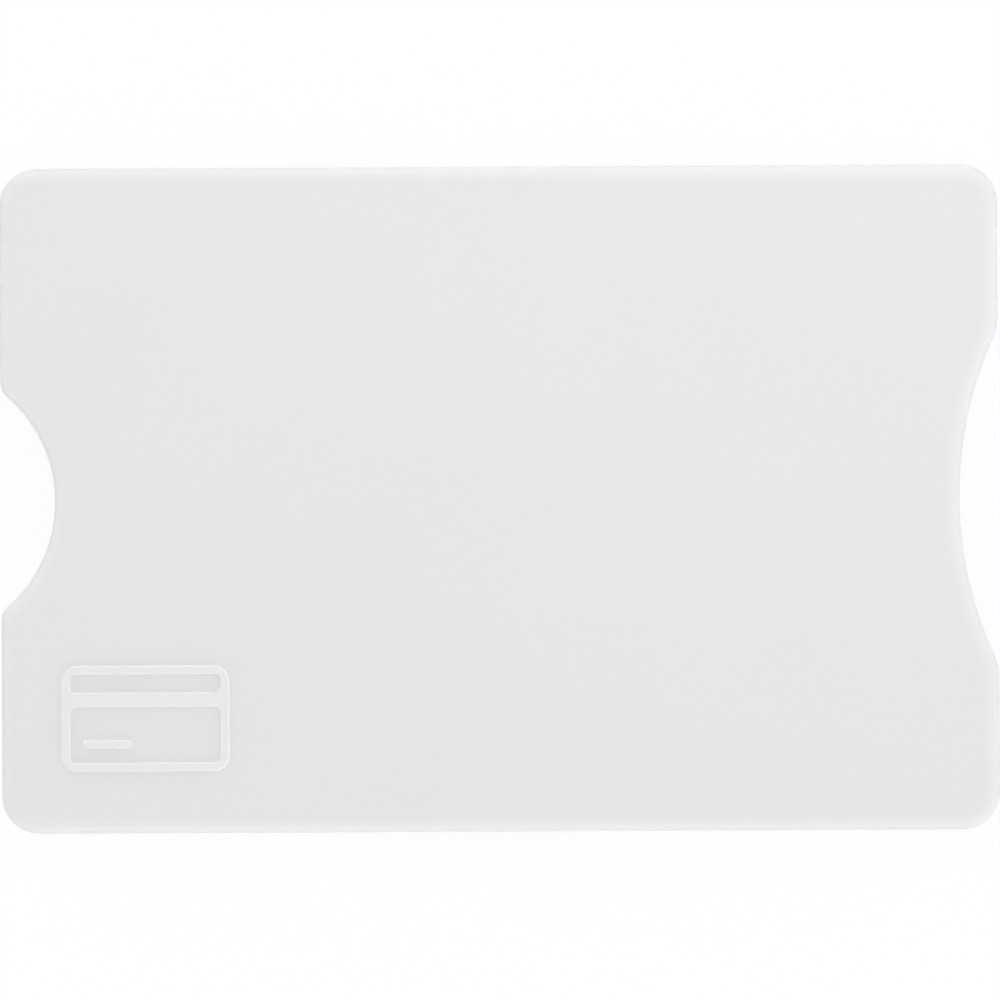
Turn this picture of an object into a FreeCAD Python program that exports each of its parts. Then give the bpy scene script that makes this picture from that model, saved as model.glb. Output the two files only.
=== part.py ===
import FreeCAD, Part
import math
import os
from collections import namedtuple

# A rigid card sleeve for one payment card: two moulded shells welded along their side rails, each lined
# with a shielding laminate of adhesive, aluminium foil and a clear wear film. The card goes in through
# the open end at +X, where a wide shallow scoop bares its edge, and a thumb in the deep notch at -X pushes
# it out. Millimetres. +Z is up and the sleeve lies on its rear face, with the origin at the middle of
# that face.

Vector = FreeCAD.Vector
Notch = namedtuple("Notch", "depth radius blend")

# The card that the pocket is made for
CARD_LENGTH = 85.6
CARD_WIDTH = 53.98
CARD_SIDE_CLEARANCE = 0.3

# Walls round the pocket
RAIL_WIDTH = 2.71
END_WALL = 1.6
MOUTH_LIP = 2.8
PLATE_THICKNESS = 1.2
SLOT_HEIGHT = 1.6
POCKET_CORNER_RADIUS = 2.0

# Outer form
CORNER_RADIUS = 3.4
EDGE_ROUND = 1.0
PARTING_BEVEL = 0.15
THUMB_NOTCH = Notch(depth=4.9, radius=12.5, blend=1.8)
FINGER_SCOOP = Notch(depth=3.5, radius=34.6, blend=4.5)
MOUTH_LEAD_IN = 0.2

# Least flat that a rounding leaves on the wall, corner or stroke that it is on
LEAST_FLAT = 0.05

# Tongue and groove of the welded joint, down the middle of each side rail
TONGUE_WIDTH = 0.8
TONGUE_HEIGHT = 0.5
TONGUE_END_GAP = 6.0
GROOVE_CLEARANCE = 0.05

# Low crowned ribs on the rails, which squeeze the card's long edges and hold it in
GRIP_LENGTH = 16.0
GRIP_SQUEEZE = 0.05
GRIP_FROM_MOUTH = 24.0
GRIP_ROOT = 0.2

# Shielding laminate
ADHESIVE_THICKNESS = 0.05
FOIL_THICKNESS = 0.05
LINER_THICKNESS = 0.05
SHIELD_EDGE_GAP = 0.5
SHIELD_NOTCH_INSET = 2.2
SHIELD_CORNER_RADIUS = 1.5
SHIELD_BLEND = 1.0

# Raised card pictogram on the front face, measured from the thumb end and the near side
MARK_FROM_END = 13.0
MARK_FROM_SIDE = 10.4
MARK_LENGTH = 15.1
MARK_WIDTH = 9.5
MARK_STROKE = 0.78
MARK_CORNER_RADIUS = 1.4
MARK_RELIEF = 0.15
MARK_EDGE_ROUND = 0.12
MARK_STRIPE_WIDTH = 1.3
MARK_STRIPE_RISE = 1.7
MARK_BAR_LENGTH = 4.4
MARK_BAR_DROP = 2.3
MARK_BAR_INDENT = 1.9

# Worked out from the sizes above
POCKET_WIDTH = CARD_WIDTH + 2 * CARD_SIDE_CLEARANCE
SLEEVE_LENGTH = END_WALL + CARD_LENGTH + MOUTH_LIP
SLEEVE_WIDTH = POCKET_WIDTH + 2 * RAIL_WIDTH
POCKET_DEPTH = SLOT_HEIGHT / 2
SHELL_HEIGHT = PLATE_THICKNESS + POCKET_DEPTH
X_THUMB = -SLEEVE_LENGTH / 2
X_MOUTH = SLEEVE_LENGTH / 2
X_POCKET_END = X_THUMB + END_WALL
GRIP_HEIGHT = CARD_SIDE_CLEARANCE + GRIP_SQUEEZE
RAIL_MIDDLE = SLEEVE_WIDTH / 2 - RAIL_WIDTH / 2


def rounding(radius, *walls):
    """The radius of a rounding, limited by the walls that it is cut from."""
    return min(radius, *(wall - LEAST_FLAT for wall in walls))


def at_height(shape, z, tolerance=1e-6):
    """The edges of shape that lie flat at height z."""
    boxes = [(edge, edge.BoundBox) for edge in shape.Edges]
    return [edge for edge, box in boxes if max(abs(box.ZMin - z), abs(box.ZMax - z)) < tolerance]


def notch_edges(x_edge, inward, notch):
    """Edges of a round notch in an end edge, with a blend arc where it runs out at each side."""
    circle = Vector(x_edge + inward * (notch.depth - notch.radius), 0, 0)
    reach = notch.radius + notch.blend
    deepest = Vector(x_edge + inward * notch.depth, 0, 0)
    edges, tangents = [], []
    for side in (-1, 1):
        run_out = side * math.sqrt(reach**2 - (reach - notch.depth) ** 2)
        blend = Vector(x_edge + inward * notch.blend, run_out, 0)
        on_edge = Vector(x_edge, run_out, 0)
        on_circle = circle + (blend - circle) * (notch.radius / reach)
        middle = (on_edge - blend + on_circle - blend).normalize() * notch.blend + blend
        edges.append(Part.Arc(on_edge, middle, on_circle).toShape())
        tangents.append(on_circle)
    edges.append(Part.Arc(tangents[0], deepest, tangents[1]).toShape())
    return edges, abs(run_out)


def notched_face(x_thumb, x_mouth, half_width, corner, thumb_notch, finger_scoop):
    """A rounded rectangle between two ends, with a notch in each end."""
    edges = []
    for x_edge, inward, notch in ((x_thumb, 1, thumb_notch), (x_mouth, -1, finger_scoop)):
        curved, run_out = notch_edges(x_edge, inward, notch)
        edges += curved
        for side in (-1, 1):
            centre = Vector(x_edge + inward * corner, side * (half_width - corner), 0)
            on_end = centre + Vector(-inward * corner, 0, 0)
            on_side = centre + Vector(0, side * corner, 0)
            middle = centre + Vector(-inward, side, 0).normalize() * corner
            edges.append(Part.LineSegment(Vector(x_edge, side * run_out, 0), on_end).toShape())
            edges.append(Part.Arc(on_end, middle, on_side).toShape())
    for side in (-1, 1):
        start = Vector(x_thumb + corner, side * half_width, 0)
        end = Vector(x_mouth - corner, side * half_width, 0)
        edges.append(Part.LineSegment(start, end).toShape())
    return Part.Face(Part.Wire(Part.__sortEdges__(edges)))


def outline(inset):
    """The sleeve's outline in plan, or one parallel to it that lies further in."""
    notches = [Notch(n.depth, n.radius + inset, n.blend - inset) for n in (THUMB_NOTCH, FINGER_SCOOP)]
    half_width = SLEEVE_WIDTH / 2 - inset
    return notched_face(X_THUMB + inset, X_MOUTH - inset, half_width, CORNER_RADIUS - inset, *notches)


def rounded_bar(length, width, height, radius):
    """An upright block with rounded corners, centred on the Z axis and standing at zero height."""
    block = Part.makeBox(length, width, height, Vector(-length / 2, -width / 2, 0))
    uprights = [e for e in block.Edges if e.BoundBox.ZLength > height / 2]
    return block.makeFillet(radius, uprights)


def pocket():
    """The room for the card in one shell, from the parting plane up, running out of the mouth."""
    past_mouth = X_MOUTH + POCKET_CORNER_RADIUS
    length = past_mouth + POCKET_CORNER_RADIUS - X_POCKET_END
    room = rounded_bar(length, POCKET_WIDTH, POCKET_DEPTH, POCKET_CORNER_RADIUS)
    return room.translate(Vector(X_POCKET_END + length / 2, 0, 0))


def mouth_lead_in():
    """The cutter of the chamfer along the inner edge of the mouth, which guides the card in."""
    rims = []
    for inset in (MOUTH_LEAD_IN, -MOUTH_LEAD_IN):
        rim = outline(inset).OuterWire
        rim.translate(Vector(0, 0, POCKET_DEPTH + MOUTH_LEAD_IN - inset))
        rims.append(rim)
    plug = Part.makeLoft(rims, True, True)
    length = X_MOUTH + 2 * MOUTH_LEAD_IN
    room = Part.makeBox(length, POCKET_WIDTH, 2 * MOUTH_LEAD_IN, Vector(0, -POCKET_WIDTH / 2, POCKET_DEPTH))
    return room.cut(plug)


def grip_rib(side):
    """A rib on the inner face of one rail, crowned along its length."""
    radius = (GRIP_LENGTH**2 / 4 + GRIP_HEIGHT**2) / (2 * GRIP_HEIGHT)
    x = X_MOUTH - GRIP_FROM_MOUTH
    y = side * (POCKET_WIDTH / 2 - GRIP_HEIGHT + radius)
    crown = Part.makeCylinder(radius, POCKET_DEPTH, Vector(x, y, 0))
    keep = Part.makeBox(GRIP_LENGTH, POCKET_WIDTH + 2 * GRIP_ROOT, POCKET_DEPTH)
    keep.translate(Vector(x - GRIP_LENGTH / 2, -POCKET_WIDTH / 2 - GRIP_ROOT, 0))
    return crown.common(keep)


def shell_blank():
    """One shell, with its parting face at zero height and its outer face up."""
    block = outline(0).extrude(Vector(0, 0, SHELL_HEIGHT))
    radius = rounding(
        EDGE_ROUND, SHELL_HEIGHT - PARTING_BEVEL, CORNER_RADIUS, THUMB_NOTCH.blend, FINGER_SCOOP.blend
    )
    block = block.makeFillet(radius, at_height(block, SHELL_HEIGHT))
    block = block.makeChamfer(PARTING_BEVEL, at_height(block, 0))
    shell = block.cut(pocket()).cut(mouth_lead_in())
    for side in (-1, 1):
        shell = shell.fuse(grip_rib(side))
    return shell.removeSplitter()


def rail_strip(side, clearance, z_low, z_high):
    """A strip along the middle of one side rail: the tongue, or with a clearance the groove for it."""
    length = SLEEVE_LENGTH - 2 * TONGUE_END_GAP + 2 * clearance
    width = TONGUE_WIDTH + 2 * clearance
    strip = rounded_bar(length, width, z_high - z_low, rounding(width, width / 2))
    return strip.translate(Vector(0, side * RAIL_MIDDLE, z_low))


def card_mark():
    """The raised pictogram: a card's outline, its stripe and a short bar, standing on zero height."""
    inner_length = MARK_LENGTH - 2 * MARK_STROKE
    inner_width = MARK_WIDTH - 2 * MARK_STROKE
    height = MARK_RELIEF + MARK_EDGE_ROUND
    frame = rounded_bar(MARK_LENGTH, MARK_WIDTH, height, MARK_CORNER_RADIUS)
    frame = frame.cut(rounded_bar(inner_length, inner_width, height, MARK_CORNER_RADIUS - MARK_STROKE))
    stripe = Part.makeBox(inner_length, MARK_STRIPE_WIDTH, height)
    stripe.translate(Vector(-inner_length / 2, MARK_STRIPE_RISE - MARK_STRIPE_WIDTH / 2, 0))
    bar = rounded_bar(MARK_BAR_LENGTH, MARK_STROKE, height, rounding(MARK_STROKE, MARK_STROKE / 2))
    bar.translate(Vector(-MARK_LENGTH / 2 + MARK_BAR_INDENT + MARK_BAR_LENGTH / 2, -MARK_BAR_DROP, 0))
    radius = rounding(MARK_EDGE_ROUND, MARK_STROKE / 2, MARK_RELIEF)
    raised = [frame.fuse(stripe).removeSplitter(), bar]
    soft = [piece.makeFillet(radius, at_height(piece, height)) for piece in raised]
    mark = Part.makeCompound(soft)
    x = X_THUMB + MARK_FROM_END
    y = -SLEEVE_WIDTH / 2 + MARK_FROM_SIDE
    return mark.translate(Vector(x, y, SHELL_HEIGHT - MARK_EDGE_ROUND))


def front_shell():
    """The upper shell, with the grooves of the joint and the raised mark."""
    shell = shell_blank()
    for side in (-1, 1):
        shell = shell.cut(rail_strip(side, GROOVE_CLEARANCE, 0, TONGUE_HEIGHT + GROOVE_CLEARANCE))
    for raised in card_mark().Solids:
        shell = shell.fuse(raised)
    return shell.translate(Vector(0, 0, SHELL_HEIGHT))


def rear_shell():
    """The lower shell, the mirror image of the upper one, with the tongues of the joint."""
    shell = shell_blank()
    for side in (-1, 1):
        shell = shell.fuse(rail_strip(side, 0, -TONGUE_HEIGHT, 0))
    mirrored = shell.removeSplitter().mirror(Vector(0, 0, 0), Vector(0, 0, 1))
    return mirrored.translate(Vector(0, 0, SHELL_HEIGHT))


def shield_layers(z_plate, inward):
    """The three die-cut sheets on one plate, stacked from the plate at z_plate towards the card."""
    x_thumb = X_POCKET_END + SHIELD_EDGE_GAP
    x_mouth = X_POCKET_END + CARD_LENGTH - SHIELD_EDGE_GAP
    thumb_bottom = X_THUMB + THUMB_NOTCH.depth + SHIELD_NOTCH_INSET
    scoop_bottom = X_MOUTH - FINGER_SCOOP.depth - SHIELD_NOTCH_INSET
    thumb_notch = Notch(thumb_bottom - x_thumb, THUMB_NOTCH.radius + SHIELD_NOTCH_INSET, SHIELD_BLEND)
    finger_scoop = Notch(x_mouth - scoop_bottom, FINGER_SCOOP.radius + SHIELD_NOTCH_INSET, SHIELD_BLEND)
    half_width = POCKET_WIDTH / 2 - GRIP_HEIGHT - SHIELD_EDGE_GAP
    die_cut = notched_face(x_thumb, x_mouth, half_width, SHIELD_CORNER_RADIUS, thumb_notch, finger_scoop)
    layers = {}
    for name, thickness in (
        ("adhesive", ADHESIVE_THICKNESS),
        ("shield_foil", FOIL_THICKNESS),
        ("wear_liner", LINER_THICKNESS),
    ):
        sheet = die_cut.copy()
        sheet.translate(Vector(0, 0, z_plate))
        layers[name] = sheet.extrude(Vector(0, 0, inward * thickness))
        z_plate += inward * thickness
    return layers


def main():
    """Builds every piece and writes one file for each."""
    pieces = {"front_shell": front_shell(), "rear_shell": rear_shell()}
    for name, layer in shield_layers(SHELL_HEIGHT + POCKET_DEPTH, -1).items():
        pieces["front_" + name] = layer
    for name, layer in shield_layers(SHELL_HEIGHT - POCKET_DEPTH, 1).items():
        pieces["rear_" + name] = layer
    os.makedirs("parts", exist_ok=True)
    for name, shape in pieces.items():
        shape.exportStep(f"parts/{name}.step")
        print(f"{name}: {len(shape.Solids)} solid, {shape.Volume:.1f} mm3, valid {shape.isValid()}")


main()
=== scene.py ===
"""Dresses a rigid card sleeve: two satin white shells welded round a foil-lined slot for one card.

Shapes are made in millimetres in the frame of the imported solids. Finished meshes are in metres.
"""

import logging
import math
from collections.abc import Mapping, Sequence
from dataclasses import dataclass, field
from enum import Enum
from functools import cache
from typing import Any, ClassVar

import bpy
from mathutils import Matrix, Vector


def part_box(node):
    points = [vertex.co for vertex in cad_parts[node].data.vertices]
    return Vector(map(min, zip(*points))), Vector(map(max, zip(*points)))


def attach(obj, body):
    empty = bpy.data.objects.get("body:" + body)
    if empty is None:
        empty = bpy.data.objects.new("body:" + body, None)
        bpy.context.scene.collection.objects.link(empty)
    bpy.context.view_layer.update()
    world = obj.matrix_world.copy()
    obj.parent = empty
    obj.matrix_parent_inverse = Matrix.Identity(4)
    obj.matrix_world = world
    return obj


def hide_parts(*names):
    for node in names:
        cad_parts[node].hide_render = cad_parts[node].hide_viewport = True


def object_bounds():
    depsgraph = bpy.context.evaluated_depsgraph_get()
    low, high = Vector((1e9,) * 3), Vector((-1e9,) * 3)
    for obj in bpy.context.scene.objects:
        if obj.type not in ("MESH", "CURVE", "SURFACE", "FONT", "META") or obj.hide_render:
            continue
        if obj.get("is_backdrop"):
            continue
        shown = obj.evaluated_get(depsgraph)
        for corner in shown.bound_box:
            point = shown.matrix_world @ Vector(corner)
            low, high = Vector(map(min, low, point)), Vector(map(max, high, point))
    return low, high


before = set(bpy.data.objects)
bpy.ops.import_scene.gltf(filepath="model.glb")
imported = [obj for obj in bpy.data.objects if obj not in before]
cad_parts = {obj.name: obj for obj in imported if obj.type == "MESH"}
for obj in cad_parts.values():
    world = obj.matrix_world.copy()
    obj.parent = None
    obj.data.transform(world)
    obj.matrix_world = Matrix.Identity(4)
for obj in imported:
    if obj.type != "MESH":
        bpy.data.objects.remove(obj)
CAD_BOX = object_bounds()

MM = 0.001
QUARTER = math.pi / 2
BODY = "root"

Point = tuple[float, float]
Loop = list[Point]
Triple = tuple[float, float, float]
Colour = tuple[float, float, float, float]
Colours = tuple[Colour, Colour]
Inputs = Mapping[str | int, Any]
Object = bpy.types.Object
Material = bpy.types.Material
NodeTree = bpy.types.NodeTree
Socket = bpy.types.NodeSocket

log = logging.getLogger("card_sleeve")


class Half(Enum):
    """The two shells of the sleeve."""

    FRONT = "front"
    REAR = "rear"


class Slot(Enum):
    """The record's material slots."""

    PLASTIC = "shell_plastic"
    FOIL = "shield_foil"
    LINER = "wear_liner"
    ADHESIVE = "adhesive"


class Making(Enum):
    """How one solid is made from two."""

    CUT = "DIFFERENCE"
    JOINED = "UNION"
    SHARED = "INTERSECT"


class Turn(Enum):
    """How a piece is turned into its place."""

    NONE = (0.0, 0.0, 0.0)
    OVER = (math.pi, 0.0, 0.0)


# Outlines in the plane of the card, in millimetres

# The longest step along an arc, as an angle and as a length, and the fewest steps of an arc
ARC_STEP = math.radians(4.0)
CHORD = 0.5
LEAST_STEPS = 2

# Points closer than this are one point
SAME_POINT = 1e-6


def arc(centre: Point, radius: float, start: float, turn: float) -> Loop:
    """Points along an arc, with both of its ends.

    Args:
        centre: The arc's centre.
        radius: Its radius.
        start: The angle of its first point, in radians.
        turn: The angle that it goes through, positive for anticlockwise.

    Returns:
        The points, close enough together for the arc to look round.
    """
    turned = abs(turn)
    steps = max(math.ceil(turned / ARC_STEP), math.ceil(radius * turned / CHORD), LEAST_STEPS)
    angles = [start + turn * step / steps for step in range(steps + 1)]
    return [(centre[0] + radius * math.cos(a), centre[1] + radius * math.sin(a)) for a in angles]


def rounded_rectangle(low: Point, high: Point, radius: float) -> Loop:
    """A rectangle with round corners, anticlockwise.

    Args:
        low: Its lower left corner.
        high: Its upper right corner.
        radius: The radius of its corners, at most half its shorter side.

    Returns:
        The closed loop.
    """
    left, right = low[0] + radius, high[0] - radius
    bottom, top = low[1] + radius, high[1] - radius
    loop = []
    for turns, centre in enumerate(((right, bottom), (right, top), (left, top), (left, bottom))):
        loop += arc(centre, radius, (turns - 1) * QUARTER, QUARTER)
    return loop


def stadium(centre: Point, length: float, width: float) -> Loop:
    """A bar with round ends, from its middle and its sizes along X and Y."""
    low, high = [(centre[0] + side * length / 2, centre[1] + side * width / 2) for side in (-1, 1)]
    return rounded_rectangle(low, high, min(length, width) / 2)


@dataclass(frozen=True)
class Notch:
    """A round notch in an end edge, with a blend arc at each side.

    Attributes:
        depth: How far its deepest point lies from the edge.
        radius: The radius of the notch.
        blend: The radius of the arcs beside it.
    """

    depth: float
    radius: float
    blend: float

    def points(self, x_edge: float) -> Loop:
        """Points of the notch in an end that faces +X, from -Y to +Y.

        Args:
            x_edge: Where the end's straight edge is.

        Returns:
            The points of both blends and the notch between them.
        """
        reach = self.radius + self.blend
        turn = math.acos((reach - self.depth) / reach)
        run_out = reach * math.sin(turn)
        x_blend = x_edge - self.blend
        circle = (x_edge - self.depth + self.radius, 0.0)
        return [
            *arc((x_blend, -run_out), self.blend, 0.0, turn),
            *arc(circle, self.radius, math.pi + turn, -2 * turn),
            *arc((x_blend, run_out), self.blend, -turn, turn),
        ]


def notched_rectangle(ends: Point, half_width: float, corner: float, notches: Sequence[Notch]) -> Loop:
    """A rounded rectangle with a notch in each end, anticlockwise.

    Args:
        ends: Where the thumb end and the mouth end are.
        half_width: Half its width.
        corner: The radius of its corners.
        notches: The notch of the thumb end and that of the mouth end.

    Returns:
        The closed loop.
    """
    loop = []
    for way, x_edge, notch in ((1, ends[1], notches[1]), (-1, -ends[0], notches[0])):
        x, y = x_edge - corner, half_width - corner
        lower = arc((x, -y), corner, -QUARTER, QUARTER)
        upper = arc((x, y), corner, 0.0, QUARTER)
        end = lower + notch.points(x_edge) + upper
        loop += [(way * point[0], way * point[1]) for point in end]
    return loop


# Node trees


class Graph:
    """A node tree being built, with short calls that add nodes and join them."""

    def __init__(self, tree: NodeTree) -> None:
        """Takes the tree to build in."""
        self.tree = tree

    def feed(self, socket: Socket, value: Any) -> None:
        """Gives an input its value.

        Args:
            socket: The input.
            value: A plain value, or the socket that feeds the input.
        """
        if isinstance(value, Socket):
            self.tree.links.new(value, socket)
        else:
            socket.default_value = value

    def add(self, kind: str, inputs: Inputs | None = None, **settings: Any) -> bpy.types.Node:
        """Adds a node.

        Args:
            kind: The node's type.
            inputs: For an input's name or number, what feeds it, or a list of that.
            settings: Values of the node's own properties.

        Returns:
            The new node.
        """
        node = self.tree.nodes.new(kind)
        for name, value in settings.items():
            setattr(node, name, value)
        for key, value in (inputs or {}).items():
            for item in value if isinstance(value, list) else [value]:
                self.feed(node.inputs[key], item)
        return node

    def result(self, kind: str, inputs: Inputs | None = None, **settings: Any) -> Socket:
        """The first output of a new node."""
        return self.add(kind, inputs, **settings).outputs[0]

    def math(self, operation: str, *values: Any) -> Socket:
        """The result of a Math node on values or sockets."""
        return self.result("ShaderNodeMath", dict(enumerate(values)), operation=operation)


class FormTree(Graph):
    """A Geometry Nodes tree with named inputs, which ends in one finished geometry."""

    # What every tree of a finished piece is given, by the kind of socket
    PIECE: ClassVar[Mapping[str, list[str]]] = {
        "Vector": ["Place"],
        "Rotation": ["Turn"],
        "Material": ["Material"],
    }

    def __init__(self, name: str, **inputs: list[str]) -> None:
        """Makes the tree and its sockets.

        Args:
            name: The tree's name.
            inputs: For each kind of socket, such as Float, its inputs' names.
        """
        super().__init__(bpy.data.node_groups.new(name, "GeometryNodeTree"))
        sockets = self.tree.interface
        for kind, names in {"Geometry": ["Geometry"], **inputs}.items():
            for socket in names:
                sockets.new_socket(socket, in_out="INPUT", socket_type="NodeSocket" + kind)
        sockets.new_socket("Geometry", in_out="OUTPUT", socket_type="NodeSocketGeometry")
        self.group_in = self.add("NodeGroupInput")

    def given(self, name: str) -> Socket:
        """The socket of a named input."""
        return self.group_in.outputs[name]

    def form(self, name: str) -> Socket:
        """The geometry of the object that a named input holds."""
        return self.add("GeometryNodeObjectInfo", {"Object": self.given(name)}).outputs["Geometry"]

    def height_of(self, place: Socket) -> Socket:
        """The height of a place."""
        return self.add("ShaderNodeSeparateXYZ", {"Vector": place}).outputs["Z"]

    def upward(self, height: Socket) -> Socket:
        """A move straight up."""
        return self.result("ShaderNodeCombineXYZ", {"Z": height})

    def moved(self, geometry: Socket, **changes: Any) -> Socket:
        """Geometry with a Translation, Rotation or Scale."""
        return self.result("GeometryNodeTransform", {"Geometry": geometry, **changes})

    def merged(self, parts: list[Socket], distance: Any) -> Socket:
        """One geometry from its parts, with points closer than a distance made one."""
        joined = self.result("GeometryNodeJoinGeometry", {"Geometry": parts})
        return self.result("GeometryNodeMergeByDistance", {"Geometry": joined, "Distance": distance})

    def boolean(self, making: Making, first: Socket, second: Socket) -> Socket:
        """One closed solid made from two, of which the second may be what is cut away."""
        pair = {"Mesh 1": first, "Mesh 2": second} if making is Making.CUT else {"Mesh 2": [first, second]}
        return self.result("GeometryNodeMeshBoolean", pair, operation=making.value, solver="MANIFOLD")

    def close(self, geometry: Socket) -> NodeTree:
        """Ends the tree in a finished geometry."""
        self.add("NodeGroupOutput", {"Geometry": geometry})
        return self.tree

    def close_piece(self, geometry: Socket) -> NodeTree:
        """Ends the tree of a piece, smooth but for edges past its Sharp Angle.

        Args:
            geometry: The piece in millimetres.

        Returns:
            The tree, which gives the piece in metres, in its place and dressed.
        """
        smooth = self.result("GeometryNodeSetShadeSmooth", {"Geometry": geometry, "Shade Smooth": True})
        bend = self.result("GeometryNodeInputMeshEdgeAngle")
        sharp = self.math("GREATER_THAN", bend, self.given("Sharp Angle"))
        creases = {"Geometry": smooth, "Selection": sharp, "Shade Smooth": False}
        shaded = self.result("GeometryNodeSetShadeSmooth", creases, domain="EDGE")
        place = {"Translation": self.given("Place"), "Rotation": self.given("Turn")}
        piece = self.moved(shaded, **place, Scale=(MM, MM, MM))
        piece = self.result("GeometryNodeRealizeInstances", {"Geometry": piece})
        dressed = {"Geometry": piece, "Material": self.given("Material")}
        return self.close(self.result("GeometryNodeSetMaterial", dressed))


def new_object(name: str, data: Any) -> Object:
    """Puts a new object into the scene.

    Args:
        name: The object's name.
        data: Its mesh, curve, lamp or camera.

    Returns:
        The object, at the origin.
    """
    made = bpy.data.objects.new(name, data)
    bpy.context.scene.collection.objects.link(made)
    return made


def evaluated(source: Object, tree: NodeTree, name: str, **values: Any) -> Object:
    """Runs a tree on an object and keeps the result as a plain mesh in a new object.

    Args:
        source: The object whose geometry the tree starts from. It is removed.
        tree: The Geometry Nodes tree.
        name: The new object's name.
        values: For each named input, with _ for a space, its value.

    Returns:
        The new object.
    """
    modifier = source.modifiers.new(tree.name, "NODES")
    modifier.node_group = tree
    for item in tree.interface.items_tree:
        key = item.name.replace(" ", "_")
        if item.in_out == "INPUT" and key in values:
            modifier[item.identifier] = values[key]
    graph = bpy.context.evaluated_depsgraph_get()
    mesh = bpy.data.meshes.new_from_object(source.evaluated_get(graph), depsgraph=graph)
    source.modifiers.remove(modifier)
    bpy.data.objects.remove(source)
    mesh.name = name
    return new_object(name, mesh)


# Solids from an outline and a section


def curve_object(name: str, loops: Sequence[Loop], cyclic: bool) -> Object:
    """A flat curve through the points of one or more loops.

    Args:
        name: The object's name.
        loops: The points of each spline. A point on top of the one before it is left out.
        cyclic: Whether the splines are closed.

    Returns:
        The curve object, with its normals level.
    """
    curve = bpy.data.curves.new(name, "CURVE")
    curve.dimensions = "3D"
    curve.twist_mode = "Z_UP"
    for loop in loops:
        before = [loop[-1] if cyclic else (math.inf, math.inf), *loop[:-1]]
        points = [p for p, q in zip(loop, before) if math.dist(p, q) > SAME_POINT]
        spline = curve.splines.new("POLY")
        spline.points.add(len(points) - 1)
        for point, (x, y) in zip(spline.points, points):
            point.co = (x, y, 0.0, 1.0)
        spline.use_cyclic_u = cyclic
    return new_object(name, curve)


@dataclass
class SweptSolid:
    """A closed solid whose wall follows an outline, with flat faces at its two heights.

    Attributes:
        name: The solid's name.
        loops: Its outlines, anticlockwise round the solid and clockwise round a hole.
        section: The wall's section, as points of inset and height.
        rod: True for an open path with a closed section.
    """

    name: str
    loops: Sequence[Loop]
    section: Loop
    rod: bool = False

    # Points closer than this become one, in millimetres
    MERGE: ClassVar[float] = 1e-4

    # How many faces lie beside an edge at an open rim, and the slack in comparing that
    RIM_FACES: ClassVar[float] = 1.0
    COUNT_SLACK: ClassVar[float] = 0.5

    @classmethod
    @cache
    def tree(cls) -> NodeTree:
        """The tree that sweeps a section along outlines and fills the open ends of the wall.

        Returns:
            The tree, made once.
        """
        graph = FormTree("swept_solid", Object=["Section"], Float=["Merge"])
        sweep = {"Curve": graph.given("Geometry"), "Profile Curve": graph.form("Section")}
        wall = graph.result("GeometryNodeCurveToMesh", {**sweep, "Fill Caps": True})
        box = graph.add("GeometryNodeBoundBox", {"Geometry": wall}).outputs
        low, high = graph.height_of(box["Min"]), graph.height_of(box["Max"])
        middle = graph.math("MULTIPLY", graph.math("ADD", low, high), 0.5)
        height = graph.height_of(graph.result("GeometryNodeInputPosition"))
        faces_beside = graph.result("GeometryNodeInputMeshEdgeNeighbors")
        open_edge = graph.math("COMPARE", faces_beside, cls.RIM_FACES, cls.COUNT_SLACK)
        parts = [wall]
        for level, side in ((low, "LESS_THAN"), (high, "GREATER_THAN")):
            chosen = graph.math("MULTIPLY", open_edge, graph.math(side, height, middle))
            rim = graph.result("GeometryNodeMeshToCurve", {"Mesh": wall, "Selection": chosen})
            face = graph.result("GeometryNodeFillCurve", {"Curve": rim}, mode="NGONS")
            face = graph.moved(face, Translation=graph.upward(level))
            if level is low:
                face = graph.result("GeometryNodeFlipFaces", {"Mesh": face})
            parts.append(face)
        solid = graph.merged(parts, graph.given("Merge"))
        return graph.close(graph.result("GeometryNodeRealizeInstances", {"Geometry": solid}))

    def build(self) -> Object:
        """Makes the solid.

        Returns:
            A mesh object in millimetres, for use in another form.
        """
        path = curve_object(self.name + "_path", self.loops, cyclic=not self.rod)
        side = [(-inset, -height) for inset, height in reversed(self.section)]
        section = curve_object(self.name + "_section", [side], cyclic=self.rod)
        made = evaluated(path, self.tree(), self.name, Section=section, Merge=self.MERGE)
        bpy.data.objects.remove(section)
        return made


# Finishes


def grey(level: float) -> Colour:
    """A neutral colour."""
    return (level, level, level, 1.0)


@dataclass(frozen=True)
class Noise:
    """A cloudy pattern over a piece.

    Attributes:
        size: The size of its features, in millimetres.
        detail: How many finer layers it has.
        stretch: How much finer it is along each axis.
    """

    size: float
    detail: float
    stretch: Triple | None = None


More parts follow.
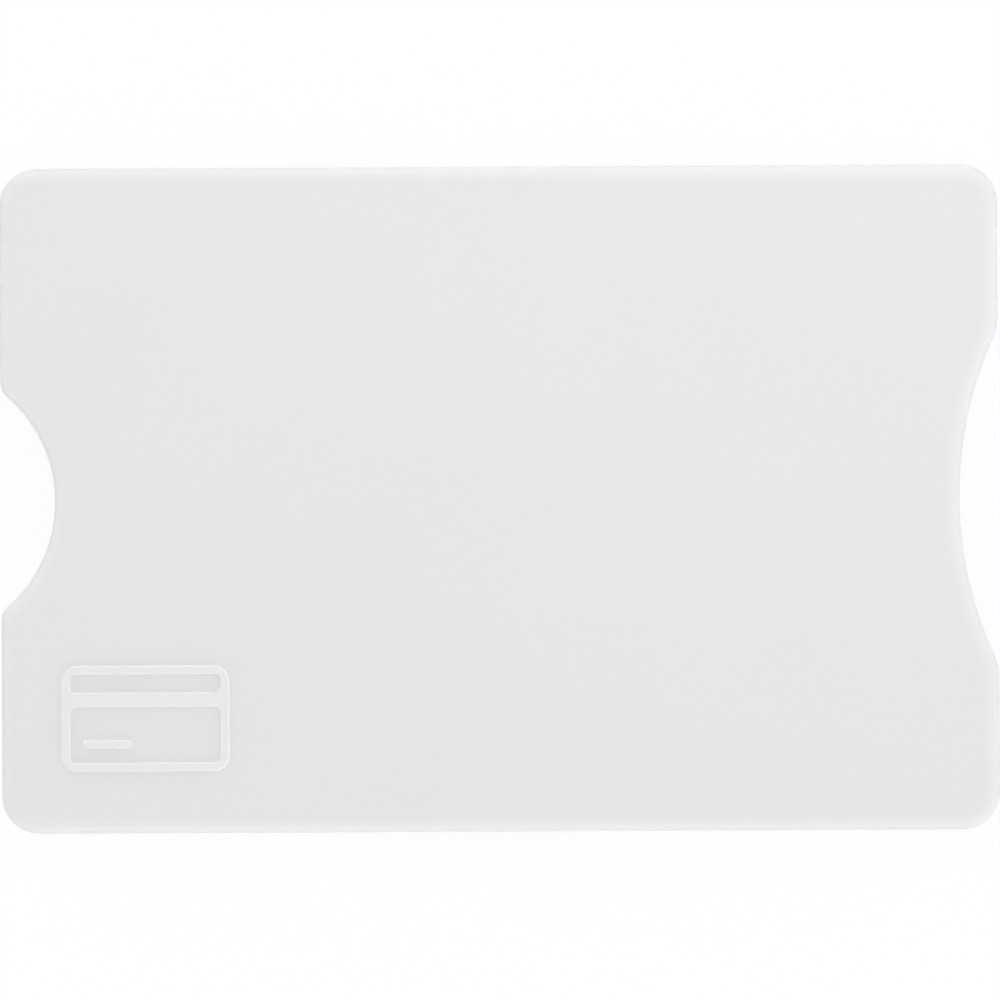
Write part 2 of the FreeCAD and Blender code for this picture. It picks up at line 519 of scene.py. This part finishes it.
class Shader(Graph):
    """The nodes of a material, round one Principled shader."""

    # The range that most of a noise's values are in
    NOISE_RANGE: ClassVar[Point] = (0.3, 0.7)

    def __init__(self, name: str) -> None:
        """Makes the material.

        Args:
            name: The material's name.
        """
        self.material = bpy.data.materials.new(name)
        self.material.use_nodes = True
        super().__init__(self.material.node_tree)
        self.principled = self.tree.nodes["Principled BSDF"]
        self.place = self.add("ShaderNodeTexCoord").outputs["Object"]

    def give(self, **values: Any) -> None:
        """Sets or feeds the shader's inputs, named with _ for a space."""
        for name, value in values.items():
            self.feed(self.principled.inputs[name.replace("_", " ")], value)

    def mix(self, share: Socket, first: Any, second: Any) -> Socket:
        """Two colours mixed by a share from 0 to 1."""
        inputs = {"Factor": share, "A": first, "B": second}
        return self.add("ShaderNodeMix", inputs, data_type="RGBA").outputs["Result"]

    def noise(self, pattern: Noise) -> Socket:
        """A cloudy pattern.

        Args:
            pattern: Its sizes.

        Returns:
            Values from 0 to 1.
        """
        place = self.place
        if pattern.stretch:
            place = self.result("ShaderNodeMapping", {"Vector": place, "Scale": pattern.stretch})
        inputs = {"Vector": place, "Scale": 1 / (pattern.size * MM), "Detail": pattern.detail}
        return self.result("ShaderNodeTexNoise", inputs)

    def spread(self, pattern: Noise, low: float, high: float) -> Socket:
        """A cloudy pattern spread over the range from low to high."""
        ends = zip(("From Min", "From Max", "To Min", "To Max"), (*self.NOISE_RANGE, low, high))
        return self.result("ShaderNodeMapRange", {"Value": self.noise(pattern), **dict(ends)})

    def bump(self, pattern: Noise, depth: float, under: Socket | None = None) -> Socket:
        """A normal bent by a cloudy pattern.

        Args:
            pattern: The pattern of the height.
            depth: How far it reaches, in millimetres.
            under: The normal that it is laid over.

        Returns:
            The bent normal.
        """
        inputs = {"Height": self.noise(pattern), "Distance": depth * MM, "Strength": 1.0}
        if under is not None:
            inputs["Normal"] = under
        return self.result("ShaderNodeBump", inputs)


@dataclass(frozen=True)
class Finish:
    """How a surface looks: its colour and roughness vary in cloudy patterns, and it may have bumps.

    Attributes:
        name: The material's name.
        colours: Its two colours.
        clouds: The pattern of its colour.
        roughness: The range of its roughness.
        sheen: The pattern of its roughness.
        bumps: The pattern of its bumps.
        bump_depth: How deep they are, in millimetres.
        metallic: 1 for metal.
        alpha: How much it covers.
        ior: Its index of refraction.
    """

    name: str
    colours: Colours
    clouds: Noise
    roughness: Point
    sheen: Noise
    bumps: Noise | None = None
    bump_depth: float = 0.0
    metallic: float = 0.0
    alpha: float = 1.0
    ior: float = 1.5

    def colour(self, shader: Shader) -> Socket:
        """The colour all over the surface."""
        return shader.mix(shader.spread(self.clouds, 0.0, 1.0), *self.colours)

    def normal(self, shader: Shader) -> Socket:
        """The normal all over the surface."""
        return shader.bump(self.bumps, self.bump_depth)

    def material(self) -> Material:
        """Builds the material.

        Returns:
            The material, whose patterns lie on the piece's own coordinates.
        """
        shader = Shader(self.name)
        shader.give(
            Base_Color=self.colour(shader),
            Metallic=self.metallic,
            Roughness=shader.spread(self.sheen, *self.roughness),
            IOR=self.ior,
            Alpha=self.alpha,
        )
        if self.bumps is not None:
            shader.give(Normal=self.normal(shader))
        return shader.material


@dataclass(frozen=True)
class SatinPlastic(Finish):
    """White moulded plastic with a fine satin grain, and a painted highlight on top of its raised mark.

    Attributes:
        specks: The fine pattern of its colour, with the same share as the clouds.
        raised: A painted highlight, its paler colour on top of the raised mark.
        wave: The slow wave of a moulded face, under the grain.
        wave_depth: How deep the wave is, in millimetres.
    """

    name: str = "satin_white_plastic"
    colours: Colours = (grey(0.785), grey(0.80))
    clouds: Noise = Noise(14.0, detail=3.0)
    specks: Noise = Noise(0.45, detail=2.0)
    # Painted highlight: the top of the raised mark is coloured paler, for the light that it catches
    raised: Colour = grey(0.825)
    roughness: Point = (0.38, 0.50)
    sheen: Noise = Noise(0.7, detail=4.0)
    bumps: Noise = Noise(0.16, detail=2.0)
    bump_depth: float = 0.0012
    wave: Noise = Noise(9.0, detail=1.0)
    wave_depth: float = 0.004

    def colour(self, shader: Shader) -> Socket:
        """The colour all over the surface.

        Args:
            shader: The shader that it is for.

        Returns:
            The colour, from the clouds, the specks and the painted highlight on the raised mark.
        """
        patterns = (self.clouds, self.specks)
        shares = [shader.spread(pattern, 0.0, 1 / len(patterns)) for pattern in patterns]
        tone = shader.mix(shader.math("ADD", *shares), *self.colours)
        # The painted highlight is laid over the tone on top of the raised mark
        raised = shader.add("ShaderNodeAttribute", attribute_name=MouldedShell.RAISED).outputs["Fac"]
        return shader.mix(raised, tone, self.raised)

    def normal(self, shader: Shader) -> Socket:
        """The normal all over the surface, with the grain laid over the wave."""
        return shader.bump(self.bumps, self.bump_depth, shader.bump(self.wave, self.wave_depth))


@dataclass(frozen=True)
class RolledFoil(Finish):
    """Aluminium foil with faint rolling lines along its length."""

    LINES: ClassVar[Noise] = Noise(0.5, detail=3.0, stretch=(0.02, 1.0, 1.0))

    name: str = "rolled_aluminium_foil"
    colours: Colours = (grey(0.80), grey(0.90))
    clouds: Noise = Noise(5.0, detail=3.0)
    roughness: Point = (0.20, 0.34)
    sheen: Noise = LINES
    bumps: Noise = LINES
    bump_depth: float = 0.002
    metallic: float = 1.0


@dataclass(frozen=True)
class ClearFilm(Finish):
    """Clear polyester film, with the faint haze that cards rub into it."""

    name: str = "clear_wear_film"
    colours: Colours = (grey(0.90), grey(0.873))
    clouds: Noise = Noise(8.0, detail=2.0)
    roughness: Point = (0.08, 0.22)
    sheen: Noise = Noise(0.6, detail=4.0, stretch=(0.03, 1.0, 1.0))
    alpha: float = 0.22
    ior: float = 1.6


@dataclass(frozen=True)
class CloudyAdhesive(Finish):
    """A coat of acrylic adhesive, cloudy where it is thick."""

    name: str = "cloudy_adhesive"
    colours: Colours = ((0.80, 0.79, 0.74, 1.0), (0.70, 0.68, 0.60, 1.0))
    clouds: Noise = Noise(2.5, detail=4.0)
    roughness: Point = (0.35, 0.60)
    sheen: Noise = Noise(0.4, detail=3.0)
    bumps: Noise = Noise(0.5, detail=3.0)
    bump_depth: float = 0.004


FINISHES: Mapping[Slot, Finish] = {
    Slot.PLASTIC: SatinPlastic(),
    Slot.ADHESIVE: CloudyAdhesive(),
    Slot.FOIL: RolledFoil(),
    Slot.LINER: ClearFilm(),
}


# The sleeve's pieces


def hand_over(piece: Object, node: str, slot: Slot) -> Object:
    """Lets a finished piece stand for a solid of the frame.

    Args:
        piece: The finished piece.
        node: The solid's node.
        slot: The record's slot for its finish. Not used.

    Returns:
        The piece.
    """
    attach(piece, BODY)
    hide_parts(node)
    return piece


@dataclass
class SleeveForm:
    """The sizes that the shells and the laminates share, in millimetres.

    Attributes:
        corner: The radius of the sleeve's corners in plan.
        thumb_notch: The notch at the closed end.
        finger_scoop: The scoop at the mouth.
        end_wall: The wall at the closed end.
        rail_width: The solid rail along each side.
        slot_height: The height of the card's slot.
        x_thumb: Where the thumb end is. This and the sizes below come from the frame.
        x_mouth: Where the mouth end is.
        half_width: Half the sleeve's width.
        parting: The height of the parting plane, which is each shell's own height too.
        relief: How far the mark stands out of the front face.
    """

    corner: float = 3.4
    thumb_notch: Notch = Notch(depth=4.9, radius=12.5, blend=1.8)
    finger_scoop: Notch = Notch(depth=3.5, radius=34.6, blend=4.5)
    end_wall: float = 1.6
    rail_width: float = 2.71
    slot_height: float = 1.6
    x_thumb: float = field(init=False)
    x_mouth: float = field(init=False)
    half_width: float = field(init=False)
    parting: float = field(init=False)
    relief: float = field(init=False)

    def __post_init__(self) -> None:
        """Reads the overall sizes from the frame."""
        low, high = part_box("front_shell")
        self.x_thumb = low.x / MM
        self.x_mouth = -self.x_thumb
        self.half_width = high.y / MM
        self.parting = low.z / MM
        self.relief = high.z / MM - 2 * self.parting

    @property
    def pocket_half(self) -> float:
        """Half the width of the card's pocket."""
        return self.half_width - self.rail_width

    @property
    def pocket_depth(self) -> float:
        """How deep the pocket is in each shell."""
        return self.slot_height / 2

    def outline(self) -> Loop:
        """The sleeve's outline in plan."""
        notches = (self.thumb_notch, self.finger_scoop)
        return notched_rectangle((self.x_thumb, self.x_mouth), self.half_width, self.corner, notches)


@dataclass
class CardMark:
    """A raised pictogram of a card: its outline, its stripe and a short bar.

    Attributes:
        from_end: How far its middle is from the thumb end.
        from_side: How far its middle is from the near side.
        length: Its length.
        width: Its width.
        stroke: The width of its lines.
        corner: The radius of its outer corners.
        hole_corner: The radius in its openings' corners.
        stripe: The width of the stripe.
        stripe_rise: How far the stripe's middle is above the mark's.
        bar_length: The length of the short bar.
        bar_drop: How far the bar is below the mark's middle.
        bar_indent: How far the bar starts from the mark's left edge.
        edge_round: The rounding of its top edges.
        sink: How far it reaches into the face.
        flat: The least flat beside a rounding.
    """

    from_end: float = 13.0
    from_side: float = 10.4
    length: float = 15.1
    width: float = 9.5
    stroke: float = 0.78
    corner: float = 1.4
    hole_corner: float = 0.5
    stripe: float = 1.3
    stripe_rise: float = 1.7
    bar_length: float = 4.4
    bar_drop: float = 2.3
    bar_indent: float = 1.9
    edge_round: float = 0.12
    sink: float = 0.1
    flat: float = 0.04

    def build(self, form: SleeveForm) -> Object:
        """Makes the raised strokes.

        Args:
            form: The sleeve's sizes.

        Returns:
            The strokes as closed solids.
        """
        x, y = form.x_thumb + self.from_end, -form.half_width + self.from_side
        half_length, half_width = self.length / 2, self.width / 2
        low, high = (x - half_length, y - half_width), (x + half_length, y + half_width)
        inner_x, inner_y = half_length - self.stroke, half_width - self.stroke
        stripe_low = y + self.stripe_rise - self.stripe / 2
        stripe_high = y + self.stripe_rise + self.stripe / 2
        openings = [
            rounded_rectangle((x - inner_x, bottom), (x + inner_x, top), self.hole_corner)[::-1]
            for bottom, top in ((stripe_high, y + inner_y), (y - inner_y, stripe_low))
        ]
        bar_middle = (low[0] + self.bar_indent + self.bar_length / 2, y - self.bar_drop)
        bar = stadium(bar_middle, self.bar_length, self.stroke)
        loops = [rounded_rectangle(low, high, self.corner), *openings, bar]
        top = form.parting + form.relief
        shoulder = arc((self.edge_round, top - self.edge_round), self.edge_round, math.pi, -QUARTER)
        section = [(0.0, form.parting - self.sink), *shoulder, (self.edge_round + self.flat, top)]
        return SweptSolid("card_mark", loops, section).build()


@dataclass
class MouldedShell:
    """One moulded shell, made with its parting face at zero height and its outer face up.

    Attributes:
        half: Which shell it is.
        form: The sleeve's sizes.
        edge_round: The rounding of the outer edges.
        crown_radius: The radius of the soft crown between rounding and face.
        crown_lean: How steep the crown is at the rounding, in degrees.
        parting_bevel: The bevel that makes the parting line's groove.
        flat: The level strip inside the crown, for flat shading.
        pocket_corner: The radius in the pocket's corners.
        lead_in: The chamfer inside the mouth.
        tongue_width: The width of the weld joint's tongue.
        tongue_height: How far the tongue stands out.
        tongue_end_gap: How far the tongue stops short of the ends.
        groove_clearance: The groove's play round the tongue.
        grip_length: The length of a grip rib.
        grip_height: How far its crown stands out of the rail.
        grip_from_mouth: How far its middle is from the mouth.
        overlap: How far cutters and tongues reach past the faces that they meet.
        hairline: Points that the cuts leave closer than this are merged.
        sharp: The angle past which an edge is shaded sharp, in degrees.
        raised_from: The share of the relief above which the painted highlight on the mark's top begins.
    """

    half: Half
    form: SleeveForm
    edge_round: float = 1.0
    crown_radius: float = 3.0
    crown_lean: float = 18.0
    parting_bevel: float = 0.15
    flat: float = 0.1
    pocket_corner: float = 2.0
    lead_in: float = 0.2
    tongue_width: float = 0.8
    tongue_height: float = 0.5
    tongue_end_gap: float = 6.0
    groove_clearance: float = 0.05
    grip_length: float = 16.0
    grip_height: float = 0.35
    grip_from_mouth: float = 24.0
    overlap: float = 0.4
    hairline: float = 0.003
    sharp: float = 28.0
    raised_from: float = 0.9

    # The attribute that is 1 on top of the raised mark, where the painted highlight goes
    RAISED: ClassVar[str] = "raised"

    # The features that are joined to the blank. The others are cut from it
    JOINED: ClassVar[Sequence[str]] = ("Card Mark", "Tongues")

    def blank(self) -> Object:
        """The solid shell before it is hollowed.

        Returns:
            Its outer form, with the rounded edge and the soft crown.
        """
        lean, face = math.radians(self.crown_lean), self.form.parting
        spread = self.crown_radius - self.edge_round
        crown_height = face - self.crown_radius
        round_centre = (self.edge_round, crown_height + spread * math.cos(lean))
        crown_centre = (self.edge_round + spread * math.sin(lean), crown_height)
        section = [
            (self.parting_bevel, 0.0),
            (0.0, self.parting_bevel),
            *arc(round_centre, self.edge_round, math.pi, lean - QUARTER),
            *arc(crown_centre, self.crown_radius, QUARTER + lean, -lean),
            (crown_centre[0] + self.flat, face),
        ]
        return SweptSolid("blank", [self.form.outline()], section).build()

    def grip_rib(self, side: int) -> Loop:
        """The crown of the grip rib on one long side of the pocket.

        Args:
            side: 1 for the side at +Y, -1 for the side at -Y.

        Returns:
            The points of the rib, anticlockwise round the pocket.
        """
        rise, half_length = self.grip_height, self.grip_length / 2
        radius = (half_length**2 + rise**2) / (2 * rise)
        opening = math.asin(half_length / radius)
        x = self.form.x_mouth - self.grip_from_mouth
        middle = (x, side * (self.form.pocket_half - rise + radius))
        return arc(middle, radius, -side * QUARTER + opening, -2 * opening)

    def pocket(self) -> Object:
        """The room for the card, which runs out of the mouth.

        Returns:
            The pocket's cutter, with the grip ribs left out of it.
        """
        form = self.form
        low = (form.x_thumb + form.end_wall, -form.pocket_half)
        high = (form.x_mouth + 2 * self.pocket_corner, form.pocket_half)
        corners = rounded_rectangle(low, high, self.pocket_corner)
        each = len(corners) // 4
        mouth, thumb = corners[: 2 * each], corners[2 * each :]
        loop = thumb[each:] + self.grip_rib(-1) + mouth + self.grip_rib(1) + thumb[:each]
        return SweptSolid("pocket", [loop], [(0.0, -self.overlap), (0.0, form.pocket_depth)]).build()

    def mouth_chamfer(self) -> Object:
        """The lead-in chamfer along the inner edge of the mouth.

        Returns:
            The chamfer's cutter.
        """
        form, leg, x, z = self.form, self.lead_in, self.form.x_mouth, self.form.pocket_depth
        path = [(x, -form.pocket_half), *form.finger_scoop.points(x), (x, form.pocket_half)]
        section = [(leg, z), (0.0, z - leg), (-leg, z), (0.0, z + leg)]
        return SweptSolid("mouth_chamfer", [path], section, rod=True).build()

    def rail_strips(self) -> Object:
        """The two strips of the weld joint, one down the middle of each rail.

        Returns:
            The tongues of the rear shell, or the cutters of the front shell's grooves.
        """
        form, play, low, high = self.form, 0.0, -self.tongue_height, self.overlap
        if self.half is Half.FRONT:
            play = self.groove_clearance
            low, high = -self.overlap, self.tongue_height + play
        length = form.x_mouth - form.x_thumb - 2 * self.tongue_end_gap + 2 * play
        y = form.half_width - form.rail_width / 2
        loops = [stadium((0.0, side * y), length, self.tongue_width + 2 * play) for side in (-1, 1)]
        return SweptSolid("rail_strips", loops, [(0.0, low), (0.0, high)]).build()

    def tree(self, features: list[str]) -> NodeTree:
        """The tree that hollows the blank and adds what stands out of it.

        Args:
            features: The names of the inputs that hold the shell's features.

        Returns:
            The tree.
        """
        name, sizes = self.half.value + "_shell", ["Merge", "Top Height", "Sharp Angle"]
        graph = FormTree(name, Object=features, Float=sizes, **FormTree.PIECE)
        shell = graph.given("Geometry")
        for feature in features:
            making = Making.JOINED if feature in self.JOINED else Making.CUT
            shell = graph.boolean(making, shell, graph.form(feature))
        # Faces above the Top Height are marked for the painted highlight on the mark's top
        height = graph.height_of(graph.result("GeometryNodeInputPosition"))
        store = {
            "Geometry": graph.merged([shell], graph.given("Merge")),
            "Name": self.RAISED,
            "Value": graph.math("GREATER_THAN", height, graph.given("Top Height")),
        }
        return graph.close_piece(graph.result("GeometryNodeStoreNamedAttribute", store, domain="FACE"))

    def build(self, finish: Material) -> Object:
        """Makes the shell in its place.

        Args:
            finish: Its material.

        Returns:
            The finished piece.
        """
        form = self.form
        features = {"Pocket": self.pocket(), "Mouth Chamfer": self.mouth_chamfer()}
        if self.half is Half.FRONT:
            turn = Turn.NONE
            features |= {"Grooves": self.rail_strips(), "Card Mark": CardMark().build(form)}
        else:
            turn = Turn.OVER
            features["Tongues"] = self.rail_strips()
        shell = evaluated(
            self.blank(),
            self.tree(list(features)),
            self.half.value + "_shell_moulding",
            Merge=self.hairline,
            Top_Height=form.parting + form.relief * self.raised_from,
            Sharp_Angle=math.radians(self.sharp),
            Place=(0.0, 0.0, form.parting * MM),
            Turn=turn.value,
            Material=finish,
            **{name.replace(" ", "_"): feature for name, feature in features.items()},
        )
        for feature in features.values():
            bpy.data.objects.remove(feature)
        return shell

    def dress(self, finishes: Mapping[Slot, Material]) -> Object:
        """Makes the shell in its finish and hands it over to the frame."""
        shell = self.build(finishes[Slot.PLASTIC])
        return hand_over(shell, self.half.value + "_shell", Slot.PLASTIC)


@dataclass
class ShieldLaminate:
    """The three die-cut sheets on the plate of one shell, lightly crinkled as one.

    Attributes:
        half: Which shell it lines.
        form: The sleeve's sizes.
        notch_inset: How far it keeps back from the notches.
        corner: The radius of its corners.
        blend: The radius beside its notches.
        cell: The spacing of its mesh.
        crinkle: How far its crinkles stand off the plate.
        crinkle_size: How wide they are.
        seed: What they are drawn from.
        ply_gap: The hair's breadth left at each face of a sheet, against flicker.
        sharp: The angle past which an edge is shaded sharp, in degrees.
        die_reach: How far the cutting die reaches above and below the plate.
    """

    half: Half
    form: SleeveForm
    notch_inset: float = 2.2
    corner: float = 1.5
    blend: float = 1.0
    cell: float = 0.8
    crinkle: float = 0.05
    crinkle_size: float = 5.0
    seed: float = 7.0
    ply_gap: float = 0.001
    sharp: float = 40.0
    die_reach: float = 2.0

    # The sheets from the plate inwards, with the last word of each piece's name
    PLIES: ClassVar[Mapping[Slot, str]] = {Slot.ADHESIVE: "coat", Slot.FOIL: "sheet", Slot.LINER: "film"}

    # What keeps a place in plan and drops its height, and how many finer layers the crinkles have
    PLAN: ClassVar[Triple] = (1.0, 1.0, 0.0)
    FINER_LAYERS: ClassVar[float] = 2.0

    def outline(self) -> Loop:
        """The die-cut outline, set back from the plate's notches.

        Returns:
            The closed loop.
        """
        low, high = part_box(f"{self.half.value}_{Slot.FOIL.value}")
        x_thumb, x_mouth = low.x / MM, high.x / MM
        form, inset = self.form, self.notch_inset
        thumb_bottom = form.x_thumb + form.thumb_notch.depth + inset
        scoop_bottom = form.x_mouth - form.finger_scoop.depth - inset
        thumb = Notch(thumb_bottom - x_thumb, form.thumb_notch.radius + inset, self.blend)
        scoop = Notch(x_mouth - scoop_bottom, form.finger_scoop.radius + inset, self.blend)
        return notched_rectangle((x_thumb, x_mouth), high.y / MM, self.corner, (thumb, scoop))

    @classmethod
    @cache
    def tree(cls) -> NodeTree:
        """The tree that cuts a crinkled sheet out of a fine slab.

        Returns:
            The tree, made once. Its geometry input is the die, as a tall closed prism.
        """
        sizes = ["Length", "Width", "Near", "Thickness"]
        sizes += ["Sharp Angle", "Crinkle", "Crinkle Size", "Seed"]
        graph = FormTree("die_cut_sheet", Float=sizes, Int=["Columns", "Rows"], **FormTree.PIECE)
        given = graph.given
        size = {"Size X": given("Length"), "Size Y": given("Width")}
        count = {"Vertices X": given("Columns"), "Vertices Y": given("Rows")}
        grid = graph.result("GeometryNodeMeshGrid", {**size, **count})
        base = graph.moved(grid, Translation=graph.upward(given("Near")))
        rise = {"Offset": graph.upward(given("Thickness")), "Offset Scale": 1.0}
        top = graph.result("GeometryNodeExtrudeMesh", {"Mesh": base, **rise, "Individual": False})
        under = graph.result("GeometryNodeFlipFaces", {"Mesh": base})
        slab = graph.merged([top, under], SweptSolid.MERGE)
        sheet = graph.boolean(Making.SHARED, slab, given("Geometry"))
        plan = {0: graph.result("GeometryNodeInputPosition"), 1: cls.PLAN}
        noise = {
            "Vector": graph.result("ShaderNodeVectorMath", plan, operation="MULTIPLY"),
            "W": given("Seed"),
            "Scale": graph.math("DIVIDE", 1.0, given("Crinkle Size")),
            "Detail": cls.FINER_LAYERS,
        }
        height = graph.result("ShaderNodeTexNoise", noise, noise_dimensions="4D")
        lift = graph.upward(graph.math("MULTIPLY", height, given("Crinkle")))
        sheet = graph.result("GeometryNodeSetPosition", {"Geometry": sheet, "Offset": lift})
        return graph.close_piece(sheet)

    def build(self, name: str, node: str, finish: Material) -> Object:
        """Makes one sheet of the laminate in its place.

        Args:
            name: The new piece's name.
            node: The solid that gives its thickness and height.
            finish: Its material.

        Returns:
            The finished piece.
        """
        low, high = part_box(node)
        form = self.form
        plate, turn = form.parting - form.pocket_depth, Turn.NONE
        near = low.z / MM - plate
        if self.half is Half.FRONT:
            plate, turn = form.parting + form.pocket_depth, Turn.OVER
            near = plate - high.z / MM
        length, width = 2 * form.x_mouth, 2 * form.half_width
        wall = [(0.0, -self.die_reach), (0.0, self.die_reach)]
        return evaluated(
            SweptSolid(name + "_die", [self.outline()], wall).build(),
            self.tree(),
            name,
            Length=length,
            Width=width,
            Columns=round(length / self.cell),
            Rows=round(width / self.cell),
            Near=near + self.ply_gap,
            Thickness=(high.z - low.z) / MM - 2 * self.ply_gap,
            Crinkle=self.crinkle,
            Crinkle_Size=self.crinkle_size,
            Seed=self.seed,
            Sharp_Angle=math.radians(self.sharp),
            Place=(0.0, 0.0, plate * MM),
            Turn=turn.value,
            Material=finish,
        )

    def dress(self, finishes: Mapping[Slot, Material]) -> list[Object]:
        """Makes the adhesive, the foil and the liner, and hands them over to the frame.

        Args:
            finishes: The material of each slot.

        Returns:
            The three pieces.
        """
        pieces = []
        for slot, word in self.PLIES.items():
            node = f"{self.half.value}_{slot.value}"
            pieces.append(hand_over(self.build(f"{node}_{word}", node, finishes[slot]), node, slot))
        return pieces


# The studio


@dataclass
class Studio:
    """A white table under soft light, seen from straight above.

    Attributes:
        form: The sleeve's sizes.
        frame_width: The picture's width at the sleeve's middle height, in millimetres.
        centre: Where the picture's middle is on the sleeve, in millimetres.
        roll: The camera's turn, in radians anticlockwise.
        camera_height: How far it is above the sleeve's middle, in metres.
        sensor: The width of its sensor, in millimetres.
        clip_end: How far it sees, in metres.
        sky_zenith: The sky's strength overhead.
        sky_horizon: What the horizon adds to it.
        sky_sides: What the horizon adds more at -Y and at +Y.
        sky_near: What it adds more at -Y, and less at +Y, where the lamp is.
        sky_mouth: What it adds more at +X, and less at -X.
        sky_corners: Twice what it adds more at the corners -X +Y and +X -Y, and less at the other two.
        horizon_power: How fast the horizon fades upwards.
        floor_tone: The floor's own colour.
        floor_glow: The share of plain light in what is seen of the floor.
        floor_size: The floor's width, in metres.
        floor_gap: How far the floor is under the sleeve, in metres.
        lamp_azimuth: Where the lamp stands, in degrees anticlockwise from +X.
        lamp_elevation: How high it stands, in degrees.
        lamp_level: The light that it gives a level white surface, where 1 is white.
        lamp_distance: How far off it stands, in metres.
        lamp_size: The length of its sides, in metres.
    """

    form: SleeveForm
    frame_width: float = 90.367
    centre: Point = (0.037, -0.075)
    roll: float = -0.00507
    camera_height: float = 0.6
    sensor: float = 36.0
    clip_end: float = 20.0
    sky_zenith: float = 0.739
    sky_horizon: float = 3.3
    sky_sides: float = 2.75
    sky_near: float = 0.6
    sky_mouth: float = 0.45
    sky_corners: float = 2.4
    horizon_power: float = 6.0
    floor_tone: float = 0.12
    floor_glow: float = 0.5
    floor_size: float = 6.0
    floor_gap: float = 2e-5
    lamp_azimuth: float = 64.0
    lamp_elevation: float = 50.0
    lamp_level: float = 0.10
    lamp_distance: float = 0.25
    lamp_size: float = 0.12

    def camera(self) -> None:
        """Makes the camera, above the sleeve and looking down."""
        data = bpy.data.cameras.new("camera")
        data.sensor_width = self.sensor
        data.lens = self.sensor * self.camera_height / (self.frame_width * MM)
        data.clip_end = self.clip_end
        camera = new_object("camera", data)
        x, y = self.centre
        camera.location = (x * MM, y * MM, self.form.parting * MM + self.camera_height)
        camera.rotation_euler = (0.0, 0.0, self.roll)
        bpy.context.scene.camera = camera

    def seen(self, graph: Graph) -> Socket:
        """Which rays show the background itself: directly, in gloss or through a clear film.

        Args:
            graph: The tree that asks.

        Returns:
            1 for such a ray, 0 for one that only brings light.
        """
        rays = graph.add("ShaderNodeLightPath").outputs
        indirectly = graph.math("MAXIMUM", rays["Is Glossy Ray"], rays["Is Transmission Ray"])
        return graph.math("MAXIMUM", rays["Is Camera Ray"], indirectly)

    def sky(self) -> None:
        """Makes the world: white where it is seen, and soft light that is stronger near the horizon."""
        world = bpy.data.worlds.new("studio")
        bpy.context.scene.world = world
        world.use_nodes = True
        graph = Graph(world.node_tree)
        direction = graph.add("ShaderNodeTexCoord").outputs["Generated"]
        parts = graph.add("ShaderNodeSeparateXYZ", {"Vector": direction}).outputs
        x, y = parts["X"], parts["Y"]
        low = graph.math("SUBTRACT", 1.0, graph.math("ABSOLUTE", parts["Z"]))
        fade = graph.math("POWER", low, self.horizon_power)
        # The horizon is sky_horizon + sky_mouth x + y (sky_sides y - sky_corners x - sky_near)
        ends = graph.math("MULTIPLY_ADD", x, self.sky_mouth, self.sky_horizon)
        slope = graph.math("MULTIPLY_ADD", x, -self.sky_corners, -self.sky_near)
        slope = graph.math("MULTIPLY_ADD", y, self.sky_sides, slope)
        horizon = graph.math("MULTIPLY_ADD", y, slope, ends)
        light = graph.math("MULTIPLY_ADD", fade, horizon, self.sky_zenith)
        strength = graph.result("ShaderNodeMix", {"Factor": self.seen(graph), "A": light, "B": 1.0})
        background = world.node_tree.nodes["Background"].inputs
        graph.feed(background["Color"], grey(1.0))
        graph.feed(background["Strength"], strength)

    def floor(self) -> None:
        """Makes the white table, which still takes the sleeve's shadow."""
        material = bpy.data.materials.new("white_table")
        material.use_nodes = True
        nodes = material.node_tree.nodes
        nodes.remove(nodes["Principled BSDF"])
        graph = Graph(material.node_tree)
        paint = graph.result("ShaderNodeBsdfDiffuse", {"Color": grey(self.floor_tone)})
        # The glow that adds up to white with the share of paint under white light
        to_white = (1 - (1 - self.floor_glow) * self.floor_tone) / self.floor_glow
        glow = graph.result("ShaderNodeEmission", {"Color": grey(1.0), "Strength": to_white})
        share = graph.math("MULTIPLY", self.seen(graph), self.floor_glow)
        total = graph.result("ShaderNodeMixShader", dict(enumerate((share, paint, glow))))
        graph.feed(nodes["Material Output"].inputs["Surface"], total)
        half = self.floor_size / 2
        corners = [(-half, -half), (half, -half), (half, half), (-half, half)]
        mesh = bpy.data.meshes.new("table")
        mesh.from_pydata([(x, y, -self.floor_gap) for x, y in corners], [], [range(len(corners))])
        mesh.materials.append(material)
        new_object("table", mesh)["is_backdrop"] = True

    def lamp(self) -> None:
        """Makes the one lamp, a square that is aimed at the sleeve."""
        azimuth, elevation = math.radians(self.lamp_azimuth), math.radians(self.lamp_elevation)
        out, up = math.cos(elevation), math.sin(elevation)
        away = Vector((math.cos(azimuth) * out, math.sin(azimuth) * out, up))
        data = bpy.data.lights.new("key_box", "AREA")
        data.shape = "SQUARE"
        data.size = self.lamp_size
        data.energy = self.lamp_level * (math.pi * self.lamp_distance) ** 2 / up
        lamp = new_object("key_box", data)
        lamp.location = away * self.lamp_distance
        lamp.rotation_euler = away.to_track_quat("Z", "Y").to_euler()

    def build(self) -> None:
        """Makes the camera, the light and the table."""
        bpy.context.scene.view_settings.view_transform = "Standard"
        self.camera()
        self.sky()
        self.floor()
        self.lamp()


def write_sizes() -> None:
    """Gathers the box of the solids and the box of the dressed sleeve as plain lists, and keeps neither.
    """
    boxes = {"cad": CAD_BOX, "visual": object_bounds()}
    {name: [list(corner) for corner in box] for name, box in boxes.items()}


def main() -> None:
    """Builds the sleeve's pieces in order and reports each, then builds the studio round them."""
    logging.basicConfig(level=logging.INFO, format="%(name)s: %(message)s")
    form = SleeveForm()
    finishes = {slot: finish.material() for slot, finish in FINISHES.items()}
    for half in Half:
        shell = MouldedShell(half, form).dress(finishes)
        plies = ShieldLaminate(half, form).dress(finishes)
        for piece in (shell, *plies):
            log.info("%s is in place, with %d faces", piece.name, len(piece.data.polygons))
    Studio(form).build()
    write_sizes()


if __name__ == "__main__":
    main()
